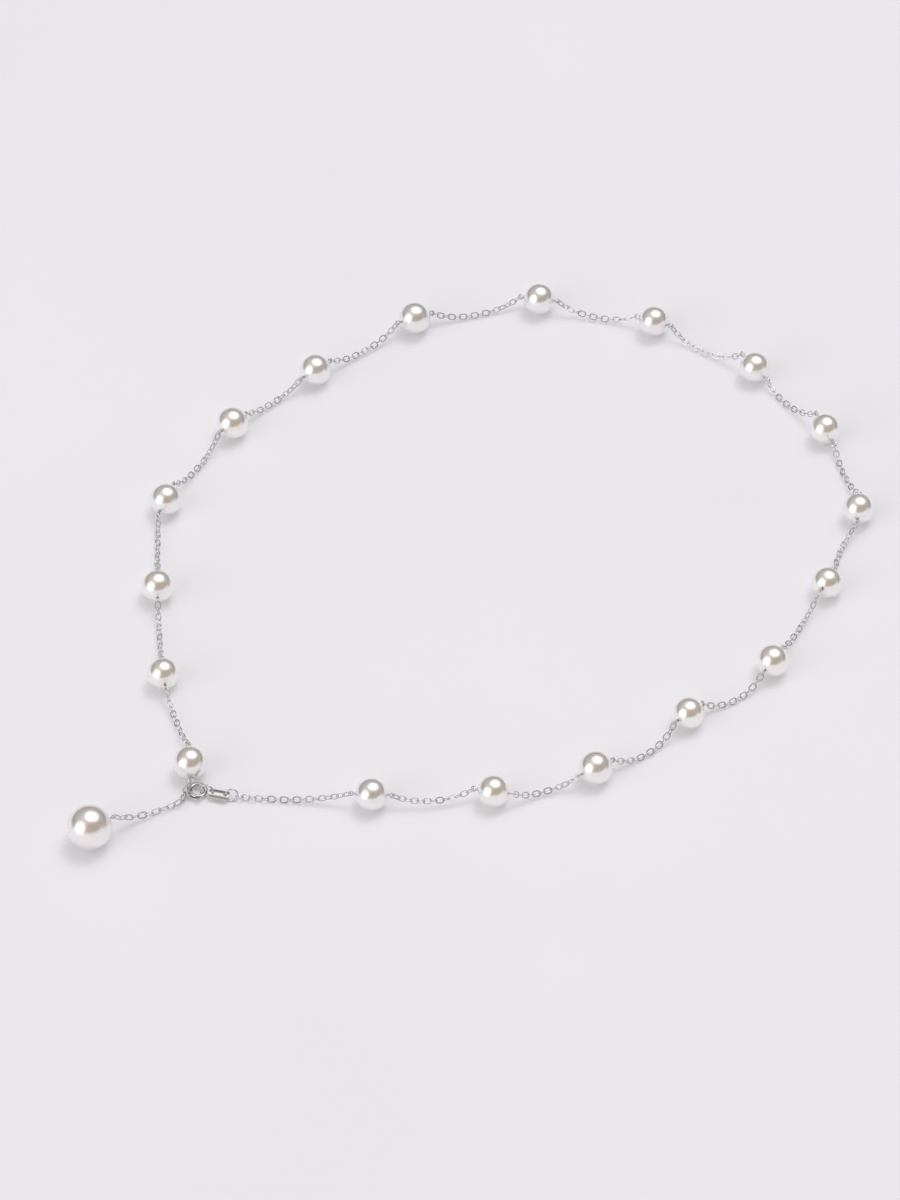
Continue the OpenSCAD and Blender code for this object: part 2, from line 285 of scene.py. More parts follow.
def silver_material(name, clean, mark_size, most_gloss, least_gloss, dent):
    """Silver of a given clean colour, with handling marks of a given size."""
    material, tree, skin = plain_material(name)
    place = add(tree, "ShaderNodeTexCoord").outputs["Object"]
    worn = add(tree, "ShaderNodeGroup", {"node_tree": marks}, {
        "Vector": place, "Mark Size": mark_size,
        "Least Gloss": least_gloss, "Most Gloss": most_gloss})
    dull = [c * share for c, share in zip(clean, TARNISH)]
    colour = blend(tree, worn.outputs["Tarnish"], (*clean, 1), (*dull, 1))
    tree.links.new(colour, skin.inputs["Base Color"])
    tree.links.new(worn.outputs["Roughness"], skin.inputs["Roughness"])
    fine_relief(tree, skin, worn.outputs["Height"], 0.3, dent)
    skin.inputs["Metallic"].default_value = 1
    return material


# painted light and shade: one silver in two copies, the wire's painted lighter and the broad faces'
# painted darker
lightened_wire_silver = silver_material("silver_wire_painted_lighter", (0.64, 0.65, 0.67), 900, 0.04, 0.12, 0.003 * MM)
darkened_tag_silver = silver_material("silver_polished_painted_darker", (0.56, 0.55, 0.54), 700, 0.03, 0.09, 0.002 * MM)
print("metals:", lightened_wire_silver.name, "and", darkened_tag_silver.name)

# %% [markdown]
# ## Nacre
# A pearl is built of thousands of clear layers. Light that goes in comes back
# milky, and light that grazes the layers comes back as a broad, coloured mirror.
# The body is mostly metal-like for that inner mirror, and a clear coat adds the
# outer gloss. A group holds what varies: clouds of tone, bands round the pearl
# where the layers are thicker, and small dimples.

# %% Shader group for nacre
nacre, takes, gives = start_tree(
    "nacre_layers", "ShaderNodeTree",
    {"Vector": ("Vector", None), "Around": ("Vector", None), "Body": ("Color", (0.8, 0.8, 0.8, 1)),
     "Overtone": ("Color", (0.8, 0.7, 0.7, 1))},
    {"Color": "Color", "Roughness": "Float", "Height": "Float"})
bands = add(nacre, "ShaderNodeTexNoise", inputs={
    "Vector": add(nacre, "ShaderNodeMapping", inputs={
        0: takes["Around"], "Location": (0.37, 0.2, 0.43), "Scale": (0, 7, 0)}).outputs[0],
    "Scale": 2.0, "Detail": 3})
clouds = add(nacre, "ShaderNodeTexNoise", inputs={
    "Vector": takes["Vector"], "Scale": 260, "Detail": 2})
lean = calc(nacre, "MULTIPLY", ramp(nacre, clouds.outputs["Fac"], 0.35, 0.65),
            ramp(nacre, bands.outputs["Fac"], 0.25, 0.75, 0.5, 1.0))
nacre.links.new(blend(nacre, lean, takes["Body"], takes["Overtone"]), gives["Color"])
nacre.links.new(ramp(nacre, bands.outputs["Fac"], 0.3, 0.7, 0.22, 0.28), gives["Roughness"])
dimple = add(nacre, "ShaderNodeTexNoise", inputs={
    "Vector": takes["Vector"], "Scale": 1400, "Detail": 3})
nacre.links.new(dimple.outputs["Fac"], gives["Height"])
print("nacre_layers has", len(nacre.nodes), "nodes")

# %% [markdown]
# Real strands are matched by eye, and still no two pearls have quite one colour.
# Three tints, shared out over the strand, are enough to show that: a cream, a
# faint rose and a cool silver white.

# %% Pearls in three tints
PEARL_BODY = {
    "Metallic": 0.82, "IOR": 1.6,
    "Coat Weight": 0.4, "Coat Roughness": 0.2, "Coat IOR": 1.55,
    "Subsurface Weight": 0.2, "Subsurface Scale": 0.8 * MM,
}


def pearl_material(name, body, overtone):
    """Nacre of one tint."""
    material, tree, skin = plain_material(name)
    coords = add(tree, "ShaderNodeTexCoord")
    layers = add(tree, "ShaderNodeGroup", {"node_tree": nacre}, {
        "Vector": coords.outputs["Object"], "Around": coords.outputs["UV"],
        "Body": (*body, 1), "Overtone": (*overtone, 1)})
    tree.links.new(layers.outputs["Color"], skin.inputs["Base Color"])
    tree.links.new(layers.outputs["Roughness"], skin.inputs["Roughness"])
    fine_relief(tree, skin, layers.outputs["Height"], 0.15, 0.03 * MM)
    for socket, value in PEARL_BODY.items():
        skin.inputs[socket].default_value = value
    return material


PEARL_LOOKS = [
    pearl_material("pearl_cream", (0.98, 0.965, 0.94), (0.97, 0.94, 0.92)),
    pearl_material("pearl_rose", (0.97, 0.94, 0.94), (0.96, 0.93, 0.935)),
    pearl_material("pearl_silver", (0.95, 0.95, 0.955), (0.95, 0.935, 0.945)),
]

# %% [markdown]
# ## Where everything lies
# Each station is one pearl on its wire pin, counted from the clasp round the back
# of the loop. Between two stations the chain sags to the table and bows a little
# to one side. The same rules place the links here and in the solids, so the two
# lie on each other, link for link.

# %% Stations
PEARL = 6.5 * MM
STATIONS = [
    # x, y in mm, size, heading, tilt, tint
    (-57.0, -55.55, 1.03, 93, 11, 1),
    (-63.0, -31.9, 0.98, 98, 0, 0),
    (-64.9, -8.3, 1.02, 92, 0, 0),
    (-64.0, 15.9, 1.00, 68, 10, 2),
    (-51.0, 37.6, 1.02, 50, -6, 0),
    (-34.1, 53.2, 1.00, 42, 0, 2),
    (-13.5, 68.5, 1.02, 28, -6, 2),
    (12.7, 74.3, 1.00, -16, 6, 2),
    (36.7, 67.7, 0.97, -26, 4, 2),
    (57.4, 54.0, 0.97, -48, -16, 2),
    (71.3, 36.1, 0.97, -62, -18, 0),
    (77.1, 13.4, 0.98, -96, 0, 2),
    (69.9, -7.2, 0.98, -116, 20, 0),
    (58.1, -28.5, 1.00, -122, 0, 0),
    (41.0, -42.4, 0.98, -134, 6, 0),
    (22.4, -56.9, 1.03, -146, 4, 1),
    (2.4, -62.8, 0.98, -194, -5, 0),
    (-21.4, -63.7, 1.00, -184, 0, 2),
]
DROP = (-75.9, -73.1, 8.9 / 6.5, 28, 3, 1)
LAST = len(STATIONS) - 1
print(len(STATIONS), "pearls on the strand and one on the tail")

# %% Runs of chain
RUNS = [
    # height of the middle and bow to the right, in mm
    (2.15, 0), (1.1, 0), (1.1, 0), (1.1, -0.1), (0.9, 0.1), (1.0, -0.2), (1.1, 0.3),
    (0.8, 0.9), (1.0, 0.3), (0.8, 0.5), (0.8, 0.5), (0.8, 0.4), (0.9, 1.2), (1.3, 0.2),
    (0.8, -1.3), (0.8, -1.3), (1.1, 0.4), (1.8, -1.2), (0.8, 0.2), (1.0, 0.4),
]
TAIL = len(RUNS) - 1
print(len(RUNS), "runs of chain, the last one the tail")

# %% From a station to its pearl
def way(heading, tilt=0.0):
    """The unit vector of a heading and a tilt, in degrees."""
    h, t = math.radians(heading), math.radians(tilt)
    return Vector((math.cos(t) * math.cos(h), math.cos(t) * math.sin(h), math.sin(t)))


def size_of(s):
    """A pearl's diameter, from its station."""
    return PEARL * s[2]


def middle_of(s):
    """A pearl's middle: it rests on the table."""
    return Vector((s[0] * MM, s[1] * MM, size_of(s) / 2))


def pin_way(s):
    """The way that a pearl's pin points, toward the next pearl."""
    return way(s[3], s[4])


print("pearls, mm:", [round(size_of(s) / MM, 2) for s in [*STATIONS, DROP]])

# %% [markdown]
# The metal's own sizes come next, wire by wire. Each wire loop stands clear of its
# pearl by a small gap, and each link has a little play in the next, as it must to
# move. All of them are the solids' own values.

# %% Sizes of wire, links and rings
EYE, EYE_WIRE = 1.3 * MM, 0.32 * MM  # the round loop at a pin's end
EYE_GAP = 0.1 * MM  # between that loop and the pearl
SHANK = 0.32 * MM  # the straight part of a pin
PEG_HOLE, PEG_END_GAP = 6 * MM, 0.3 * MM  # the large pearl's bore, and the room before its bottom
LINK, LINK_WIDTH, LINK_WIRE = 1.85 * MM, 1.35 * MM, 0.24 * MM
TAIL_LINK = 2.2 * MM
RING_WIRE = 0.32 * MM
CLASP_RING, HOOK_RING, END_RING = 2.6 * MM, 2.8 * MM, 2.7 * MM
PLAY = 0.1 * MM  # between a link and what holds it
FLOOR_GAP = 0.04 * MM  # under the lowest metal
print("link, mm:", round(LINK / MM, 2), "by", round(LINK_WIDTH / MM, 2))

# %% Sizes and ways at the clasp
SPRING = Vector((-55.4, -60.7, 0.98)) * MM
SPRING_OD, SPRING_TUBE = 4 * MM, 0.86 * MM
SPRING_EYE, LOOP_SUNK = 1.5 * MM, 0.2 * MM  # its soldered loop, and how far that reaches in
LOOP_WAY, TAG_WAY, END_WAY, CLASP_RING_WAY = 205, -14, -1, 64  # headings, in degrees
HOOK_SLACK = 0.25 * MM  # from the tube's middle line to the middle of the ring hooked into it
TAG_PITCH = 2.6 * MM  # between the tag's two holes
CLASP_RING_Z = 1.35 * MM  # the height of that ring's middle
LEAN = 60  # how steeply the rings at the tag stand, in degrees
print("clasp, mm:", round(SPRING_OD / MM, 2))

# %% [markdown]
# The clasp lies flat. Its jump ring stands upright in the soldered loop, and the
# two rings at the tag lean over to one side. Their places could be typed in. Here
# they follow from the clasp's place and the rings' own sizes, so a change of one
# carries the others along.

# %% Where the clasp's rings lie
spring_r = (SPRING_OD - SPRING_TUBE) / 2
loop_centre = SPRING + (SPRING_OD / 2 + SPRING_EYE / 2 - LOOP_SUNK) * way(LOOP_WAY)
clasp_r = (CLASP_RING - RING_WIRE) / 2
rise = CLASP_RING_Z - SPRING.z
clasp_ring_centre = loop_centre - math.sqrt(clasp_r ** 2 - rise ** 2) * way(CLASP_RING_WAY)
clasp_ring_centre.z = CLASP_RING_Z
hook_r = (HOOK_RING - RING_WIRE) / 2
hook_reach = spring_r + HOOK_SLACK
hook_centre = SPRING + hook_reach * way(TAG_WAY)
hook_centre.z = HOOK_RING / 2 * math.sin(math.radians(LEAN)) + FLOOR_GAP
end_centre = (SPRING + (hook_reach + hook_r + TAG_PITCH) * way(TAG_WAY)
              + (END_RING - RING_WIRE) / 2 * way(END_WAY))
end_centre.z = END_RING / 2 * math.sin(math.radians(LEAN)) + FLOOR_GAP


def slope(heading):
    """The leaning way in the plane of a ring that leans over to the left of a heading."""
    return way(heading + 90, LEAN)


def eye(s, side):
    """The middle of a pin's wire loop, before the pearl (1) or behind it (-1)."""
    return middle_of(s) + side * (size_of(s) / 2 + EYE_GAP + EYE / 2) * pin_way(s)


tail_hook = clasp_ring_centre - clasp_r * way(CLASP_RING_WAY)
tail_way = eye(DROP, 1) - tail_hook
tail_way.z = 0
tail_start = tail_hook - (RING_WIRE + PLAY) / 2 * tail_way.normalized()
print("clasp ring at", [round(v / MM, 2) for v in clasp_ring_centre], "mm")

# %% [markdown]
# ## Laying the chain
# A chain pulled between two loops is a row of points where one link holds the
# next, evenly spaced along its way. The way is measured in short steps, and the
# points are set off along it. Each link then turns a quarter on from the one
# before. At the pearls it must stand square to the wire loop; in the middle it
# settles on two sides, at 45 degrees, as a link does on a table.

# %% Rolls and holds
def level(v):
    """The flat way to the left of a way."""
    return Vector((-v.y, v.x, 0)).normalized()


def roll_to(v, w):
    """The roll about v, in degrees, at which a face along v also holds the way w."""
    return math.degrees(math.atan2(w.dot(v.cross(level(v)).normalized()), w.dot(level(v))))


def hold(diameter, wire):
    """How far from a ring's middle it pulls on a link."""
    return diameter / 2 - wire - PLAY / 2


print("a pin's loop pulls", round(hold(EYE, EYE_WIRE) / MM, 2), "mm from its middle")

# %% The way of a run
FLATNESS = 2.6  # a higher value lays more of a run level on the table
STEPS = 48  # short straight steps in which a run's way is measured


def end_pin(k):
    """The station that a run ends at."""
    return DROP if k == TAIL else STATIONS[min(k, LAST)]


def run_ends(k):
    """A run's two ends, how far its first link stands off, and a way in the plane that holds it."""
    finish = eye(end_pin(k), 1 if k > LAST else -1)
    if k == TAIL:
        return tail_start, finish, 0, Vector((0, 0, 1))
    if k == 0:
        return clasp_ring_centre, finish, hold(CLASP_RING, RING_WIRE), Vector((0, 0, 1))
    if k == LAST + 1:
        return end_centre, finish, hold(END_RING, RING_WIRE), slope(END_WAY)
    return eye(STATIONS[k - 1], 1), finish, hold(EYE, EYE_WIRE), pin_way(STATIONS[k - 1])


def route(k, t):
    """A point of a run at share t of its way."""
    a, b, _, _ = run_ends(k)
    off = abs(2 * t - 1)
    side = Vector((b.y - a.y, a.x - b.x, 0)).normalized()
    sag = (a.z + b.z) / 2 - RUNS[k][0] * MM
    p = a.lerp(b, t) + (1 - off ** 2) * RUNS[k][1] * MM * side
    p.z = max(p.z - (1 - off ** FLATNESS) * sag, LINK_WIDTH / 2 + FLOOR_GAP)
    return p


print("the tail sags to", round(route(TAIL, 0.5).z / MM, 2), "mm above the table")

# %% The links of a run
def joints(k):
    """The points where the links of a run pull on each other."""
    path = [route(k, i / STEPS) for i in range(STEPS + 1)]
    run = [0.0]
    for a, b in zip(path, path[1:]):
        run.append(run[-1] + (b - a).length)
    first = run_ends(k)[2]
    free = run[-1] - first - hold(EYE, EYE_WIRE)
    longest = (TAIL_LINK if k == TAIL else LINK) - 2 * LINK_WIRE - PLAY
    count = math.ceil(free / longest)
    points = []
    for j in range(count + 1):
        want = first + free * j / count
        i = max(n for n in range(STEPS) if run[n] <= want)
        points.append(route(k, (i + (want - run[i]) / (run[i + 1] - run[i])) / STEPS))
    return points


SHORT_RUN = 4  # links
TWIST = 12  # how far a link strays from its roll, in degrees


def rolls(k, p):
    """The roll of each link of a run, in degrees. A short run has no room to settle."""
    last = len(p) - 2
    start = roll_to(p[1] - p[0], run_ends(k)[3]) + 90
    end = roll_to(p[-1] - p[-2], pin_way(end_pin(k))) + 90
    rest = end - start - 90 * last
    drift = (rest - 180 * round(rest / 180)) / last
    middle = start + drift * last / 2
    settle = 45 + 90 * round((middle - 45) / 90) - middle if last > SHORT_RUN else 0
    wander = [TWIST * math.sin(math.radians(47 * j + 80 * k)) for j in range(last + 1)]
    return [start + (90 + drift) * j + math.sin(math.pi * j / last) * (settle + wander[j])
            for j in range(last + 1)]


ALL_JOINTS = [joints(k) for k in range(TAIL + 1)]
print("links per run:", [len(p) - 1 for p in ALL_JOINTS])

# %% [markdown]
# ## Growing wire from points
# Links, loops and jump rings are all bent wire that repeats, which is what
# Geometry Nodes are for. Every piece starts as a bare mesh of points that carry
# which way they face. A tree bends the wire once and sets a copy on each point,
# and the result is turned back into a plain mesh.

# %% Points that know their facing
def facing_points(name, spots, edges=()):
    """A mesh of points. Each spot is (place, way, roll in degrees, whether a ring stands on it)."""
    mesh = bpy.data.meshes.new(name)
    mesh.from_pydata([s[0] for s in spots], list(edges), [])
    for label, values in (("way", [s[1].normalized() for s in spots]),
                          ("level", [level(s[1]) for s in spots])):
        mesh.attributes.new(label, "FLOAT_VECTOR", "POINT").data.foreach_set(
            "vector", [c for v in values for c in v])
    mesh.attributes.new("roll", "FLOAT", "POINT").data.foreach_set(
        "value", [math.radians(s[2]) for s in spots])
    mesh.attributes.new("has_ring", "BOOLEAN", "POINT").data.foreach_set(
        "value", [s[3] for s in spots])
    return mesh


print("points carry their way, level, roll and has_ring")

# %% Growing a tree on the points
def grow(name, mesh, tree, values):
    """The plain mesh object that a tree makes of a mesh of points, with its inputs set by name."""
    seed = bpy.data.objects.new(name + "_points", mesh)
    bpy.context.scene.collection.objects.link(seed)
    modifier = seed.modifiers.new("grow", "NODES")
    modifier.node_group = tree
    for item in tree.interface.items_tree:
        if item.in_out == "INPUT" and item.name in values:
            modifier[item.identifier] = values[item.name]
    ready = seed.evaluated_get(bpy.context.evaluated_depsgraph_get())
    grown = bpy.data.meshes.new_from_object(ready)
    bpy.data.objects.remove(seed)
    for label in ("way", "level", "roll", "has_ring"):
        if label in grown.attributes:
            grown.attributes.remove(grown.attributes[label])
    grown.name = name
    piece = bpy.data.objects.new(name, grown)
    bpy.context.scene.collection.objects.link(piece)
    print(name, "has", len(grown.polygons), "faces")
    return piece


print("grow makes a plain mesh and takes its modifier away")

# %% [markdown]
# Each tree reads the facing back from its points as a rotation. It chooses which
# faces are shaded smooth, and it ends by turning its copies into real mesh with a
# material, because an export drops copies that aren't real.

# %% What every tree does with its points and faces
def attribute(tree, name, kind):
    """What the points carry under a name."""
    return add(tree, "GeometryNodeInputNamedAttribute",
               {"data_type": kind}, {"Name": name}).outputs[0]


def facing(tree):
    """The rotation that the points carry."""
    axes = add(tree, "FunctionNodeAxesToRotation", {"primary_axis": "X", "secondary_axis": "Y"},
               {0: attribute(tree, "way", "FLOAT_VECTOR"),
                1: attribute(tree, "level", "FLOAT_VECTOR")})
    turn = add(tree, "FunctionNodeAxisAngleToRotation", inputs={
        "Axis": (1, 0, 0), "Angle": attribute(tree, "roll", "FLOAT")})
    return add(tree, "FunctionNodeRotateRotation", {"rotation_space": "LOCAL"},
               {0: axes.outputs[0], 1: turn.outputs[0]}).outputs[0]


def shade(tree, geometry, smooth, faces=True):
    """All faces, or chosen ones, shaded smooth or flat."""
    return add(tree, "GeometryNodeSetShadeSmooth", inputs={
        0: geometry, 1: faces, 2: smooth}).outputs[0]


def finish_tree(tree, geometry, material, out):
    """Ends a tree: copies become real mesh with their material."""
    real = add(tree, "GeometryNodeRealizeInstances", inputs={0: geometry}).outputs[0]
    dressed = add(tree, "GeometryNodeSetMaterial", inputs={0: real, "Material": material})
    tree.links.new(dressed.outputs[0], out)


def position(tree):
    """The x, y and z of each point where it is now."""
    return add(tree, "ShaderNodeSeparateXYZ", inputs={
        0: add(tree, "GeometryNodeInputPosition").outputs[0]}).outputs


def half_between(tree, outer, inner):
    """Half of what one size is larger than another."""
    return calc(tree, "MULTIPLY", calc(tree, "SUBTRACT", outer, inner), 0.5)


def wire_round(tree, width, share, steps):
    """A round wire's section, its radius a share of its width."""
    return add(tree, "GeometryNodeCurvePrimitiveCircle", inputs={
        "Resolution": steps, "Radius": calc(tree, "MULTIPLY", width, share)}).outputs["Curve"]


print("helpers for geometry trees are ready")

# %% [markdown]
# ## The cable chain
# One link is a wire bent to an oval. A circle of points is pulled apart into two
# halves and a small round profile is drawn along it. The finished chain has been
# rolled, which presses every link a little flat on both faces. Those two faces
# are true flats, shaded flat, so each link catches the light or goes dark as a
# whole, and the chain glitters. The rest of the wire is shaded smooth. With
# sixteen steps round the oval and six round the wire, a link has 96 faces.

# %% Bend the wire of a link
OVAL_STEPS, WIRE_STEPS = 16, 6
SIX_SIDED = 0.53  # a little more than half, so that six flat sides don't look thin
PRESSED = 0.17 * MM  # the thickness that rolling leaves
NARROW = 0.05 * MM  # the strip in the middle that is stretched into the long sides

link_tree, takes, gives = start_tree(
    "cable_link", "GeometryNodeTree",
    {"Geometry": ("Geometry", None), "Length": ("Float", LINK), "Width": ("Float", LINK_WIDTH),
     "Wire": ("Float", LINK_WIRE), "Thickness": ("Float", PRESSED), "Material": ("Material", None)},
    {"Geometry": "Geometry"})
circle = add(link_tree, "GeometryNodeCurvePrimitiveCircle", inputs={
    "Resolution": OVAL_STEPS, "Radius": half_between(link_tree, takes["Width"], takes["Wire"])})
straight = half_between(link_tree, takes["Length"], takes["Width"])
pulled = add(link_tree, "ShaderNodeMapRange", inputs={
    "Value": position(link_tree)["X"], "From Min": -NARROW, "From Max": NARROW,
    "To Min": calc(link_tree, "MULTIPLY", straight, -1.0), "To Max": straight}).outputs[0]
oval = add(link_tree, "GeometryNodeSetPosition", inputs={
    "Geometry": circle.outputs["Curve"],
    "Offset": add(link_tree, "ShaderNodeCombineXYZ", inputs={"X": pulled}).outputs[0]})
link = add(link_tree, "GeometryNodeCurveToMesh", inputs={
    "Curve": oval.outputs[0],
    "Profile Curve": wire_round(link_tree, takes["Wire"], SIX_SIDED, WIRE_STEPS)})
print("a bent link has", OVAL_STEPS * WIRE_STEPS, "faces")

# %% Press its flats and set it on the points
FACES_UP = 0.95  # a face whose normal rises this much is one of the flats

spot = position(link_tree)
face = calc(link_tree, "MULTIPLY", takes["Thickness"], 0.5)
pressed = calc(link_tree, "MAXIMUM", calc(link_tree, "MINIMUM", spot["Z"], face),
               calc(link_tree, "MULTIPLY", face, -1.0))
rolled = add(link_tree, "GeometryNodeSetPosition", inputs={
    "Geometry": link.outputs[0], "Position": add(link_tree, "ShaderNodeCombineXYZ", inputs={
        "X": spot["X"], "Y": spot["Y"], "Z": pressed}).outputs[0]})
upward = add(link_tree, "ShaderNodeSeparateXYZ", inputs={
    0: add(link_tree, "GeometryNodeInputNormal").outputs[0]}).outputs["Z"]
flats = calc(link_tree, "GREATER_THAN", calc(link_tree, "ABSOLUTE", upward), FACES_UP)
polished = shade(link_tree, shade(link_tree, rolled.outputs[0], True), False, flats)
laid = add(link_tree, "GeometryNodeInstanceOnPoints", inputs={
    "Points": takes["Geometry"], "Instance": polished, "Rotation": facing(link_tree)})
finish_tree(link_tree, laid.outputs[0], takes["Material"], gives["Geometry"])
print("cable_link has", len(link_tree.nodes), "nodes")

# %% Lay the chains
def lay_chain(name, runs, length):
    """One stretch of chain, grown on a point at the middle of each link."""
    spots = []
    for k in runs:
        points = ALL_JOINTS[k]
        for a, b, roll in zip(points, points[1:], rolls(k, points)):
            spots.append(((a + b) / 2, b - a, roll, False))
    return grow(name, facing_points(name, spots), link_tree,
                {"Length": length, "Width": LINK_WIDTH, "Wire": LINK_WIRE, "Thickness": PRESSED,
                 "Material": lightened_wire_silver})


chains = {
    "chain_left": lay_chain("chain_wire_left", range(0, 9), LINK),
    "chain_right": lay_chain("chain_wire_right", range(9, LAST + 2), LINK),
    "tail_chain": lay_chain("chain_wire_tail", [TAIL], TAIL_LINK),
}

# %% [markdown]
# ## Wire pins and jump rings
# Each strand pearl turns on a straight wire whose ends are bent into round loops.
# The large pearl is drilled from one side only and sits on a peg with one loop. A
# jump ring is the same bent wire without a shank. One tree makes them all: an
# almost closed arc of wire on each ring point and a straight wire along each edge.

# %% The bent wire tree
PIN_SEAM, RING_SEAM = 0.06, 0.03  # the width of the cut, as an angle in radians
ARC_POINTS, ROUND_STEPS = 33, 10  # along the bend and round the wire

bent_tree, takes, gives = start_tree(
    "bent_wire", "GeometryNodeTree",
    {"Geometry": ("Geometry", None), "Diameter": ("Float", EYE), "Wire": ("Float", EYE_WIRE),
     "Seam": ("Float", PIN_SEAM), "Shank": ("Float", SHANK), "Material": ("Material", None)},
    {"Geometry": "Geometry"})
half_seam = calc(bent_tree, "MULTIPLY", takes["Seam"], 0.5)
arc = add(bent_tree, "GeometryNodeCurveArc", inputs={
    "Resolution": ARC_POINTS, "Start Angle": calc(bent_tree, "ADD", half_seam, math.pi),
    "Radius": half_between(bent_tree, takes["Diameter"], takes["Wire"]),
    "Sweep Angle": calc(bent_tree, "SUBTRACT", 2 * math.pi, takes["Seam"])})
ring = add(bent_tree, "GeometryNodeCurveToMesh", inputs={
    "Curve": arc.outputs["Curve"], "Fill Caps": True,
    "Profile Curve": wire_round(bent_tree, takes["Wire"], 0.5, ROUND_STEPS)})
shanks = add(bent_tree, "GeometryNodeCurveToMesh", inputs={
    "Curve": add(bent_tree, "GeometryNodeMeshToCurve", inputs={0: takes["Geometry"]}).outputs[0],
    "Fill Caps": True, "Profile Curve": wire_round(bent_tree, takes["Shank"], 0.5, ROUND_STEPS)})
rings_on = add(bent_tree, "GeometryNodeInstanceOnPoints", inputs={
    "Points": takes["Geometry"], "Selection": attribute(bent_tree, "has_ring", "BOOLEAN"),
    "Instance": shade(bent_tree, ring.outputs[0], True), "Rotation": facing(bent_tree)})
together = add(bent_tree, "GeometryNodeJoinGeometry", inputs={
    0: shade(bent_tree, shanks.outputs[0], True)})
bent_tree.links.new(rings_on.outputs[0], together.inputs[0])
finish_tree(bent_tree, together.outputs[0], takes["Material"], gives["Geometry"])
print("bent_wire has", len(bent_tree.nodes), "nodes")

# %% [markdown]
# A pin lies along its pearl's bore, and its two loops could stand at any angle.
# On a real chain each loop is turned until the pull lies in its plane. So each
# one takes its roll from the first link that it holds.

# %% Pins
def pull_ways(i):
    """The ways in which the chain pulls on the front and the back loop of a strand pin."""
    after, before = ALL_JOINTS[i + 1], ALL_JOINTS[i]
    front = after[-1] - after[-2] if i == LAST else after[1] - after[0]
    return front, before[-1] - before[-2]


def pin_spots(s, pulls):
    """The points of one pin: its shank's two ends, then its loops. With one loop it is a peg."""
    ahead, reach = pin_way(s), size_of(s) / 2 + EYE_GAP
    seat = reach + EYE_WIRE / 2
    start = -seat if len(pulls) == 2 else size_of(s) / 2 - PEG_HOLE + PEG_END_GAP
    spots = [(middle_of(s) + x * ahead, ahead, 0, False) for x in (start, seat)]
    for side, pull in zip((1, -1), pulls):
        out = side * ahead
        spots.append((middle_of(s) + (reach + EYE / 2) * out, out, roll_to(out, pull), True))
    return spots


def make_pin(name, s, pulls):
    """The wire pin of one pearl."""
    return grow(name, facing_points(name, pin_spots(s, pulls), [(0, 1)]), bent_tree,
                {"Diameter": EYE, "Wire": EYE_WIRE, "Seam": PIN_SEAM, "Shank": SHANK,
                 "Material": lightened_wire_silver})


pins = {}
for i, s in enumerate(STATIONS):
    pins[f"pin_{i + 1:02d}"] = make_pin(f"wire_pin_{i + 1:02d}", s, pull_ways(i))
tail_end = ALL_JOINTS[TAIL]
pins["drop_pin"] = make_pin("wire_pin_drop", DROP, [tail_end[-1] - tail_end[-2]])

# %% [markdown]
# Three jump rings join the clasp, the tag and the chain. Each was bent open and
# closed again, which leaves a hairline cut. A closed ring would do, but the cut
# shows close up, and it is turned away from the pieces that the ring holds.

# %% Jump rings
def jump_ring(name, centre, diameter, seam_from, other):
    """A round wire ring, its seam opposite a given way. Other is a second way in its plane."""
    spots = [(centre, seam_from, roll_to(seam_from, other), True)]
    return grow(name, facing_points(name, spots), bent_tree,
                {"Diameter": diameter, "Wire": RING_WIRE, "Seam": RING_SEAM,
                 "Material": lightened_wire_silver})


upright = Vector((0, 0, 1))
rings = {
    "clasp_ring": jump_ring("jump_ring_clasp", clasp_ring_centre, CLASP_RING,
                            way(CLASP_RING_WAY) - 1.2 * upright, upright),
    "hook_ring": jump_ring("jump_ring_hook", hook_centre, HOOK_RING,
                           way(TAG_WAY) - 0.8 * slope(TAG_WAY), slope(TAG_WAY)),
    "end_ring": jump_ring("jump_ring_end", end_centre, END_RING,
                          way(END_WAY) - 0.8 * slope(END_WAY), slope(END_WAY)),
}

# %% [markdown]
# ## The spring ring and the tag
# These three are true to the solids already: a hollow bent tube with its slot,
# the tongue inside it, and a plain tag arched like a roof tile. They could be made
# anew, but copies of the solids are exact. A solid comes in as loose triangles, so
# a copy is welded and its curved faces are shaded smooth. The tag's crisp edges
# are rounded a little too, as polishing does.

# %% Weld and smooth a copy of a solid
WELD, SAME_PLANE, CREASE = 0.002 * MM, math.radians(0.5), math.radians(38)


def polished_copy(name, node, material, edge_round):
    """A welded copy of a solid, smooth between its creases. Its creases are rounded if asked."""
    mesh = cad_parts[node].data.copy()
    shape = bmesh.new()
    shape.from_mesh(mesh)
    bmesh.ops.remove_doubles(shape, verts=shape.verts, dist=WELD)
    bmesh.ops.dissolve_limit(shape, angle_limit=SAME_PLANE, verts=shape.verts, edges=shape.edges)
    for face in shape.faces:
        face.smooth = True
    for edge in shape.edges:
        edge.smooth = len(edge.link_faces) == 2 and edge.calc_face_angle() < CREASE
    shape.to_mesh(mesh)
    shape.free()
    mesh.name = name
    mesh.materials.clear()
    mesh.materials.append(material)
    piece = bpy.data.objects.new(name, mesh)
    bpy.context.scene.collection.objects.link(piece)
    if edge_round:
        soften = piece.modifiers.new("soften", "BEVEL")
        soften.width = edge_round
        soften.segments = 2
        soften.limit_method = "ANGLE"
        soften.angle_limit = CREASE
        soften.harden_normals = True
    print(name, "has", len(mesh.polygons), "faces")
    return piece


print("creases are sharper than", round(math.degrees(CREASE)), "degrees")

# %% Polish the clasp and the tag
# the tube and the tag take the silver painted darker, the tongue the wire's silver painted lighter
clasp = {
    "spring_ring": polished_copy("spring_ring_tube", "spring_ring", darkened_tag_silver, 0),
    "clasp_tongue": polished_copy("spring_ring_tongue", "clasp_tongue", lightened_wire_silver, 0),
    "tag": polished_copy("polished_tag", "tag", darkened_tag_silver, 0.05 * MM),
}

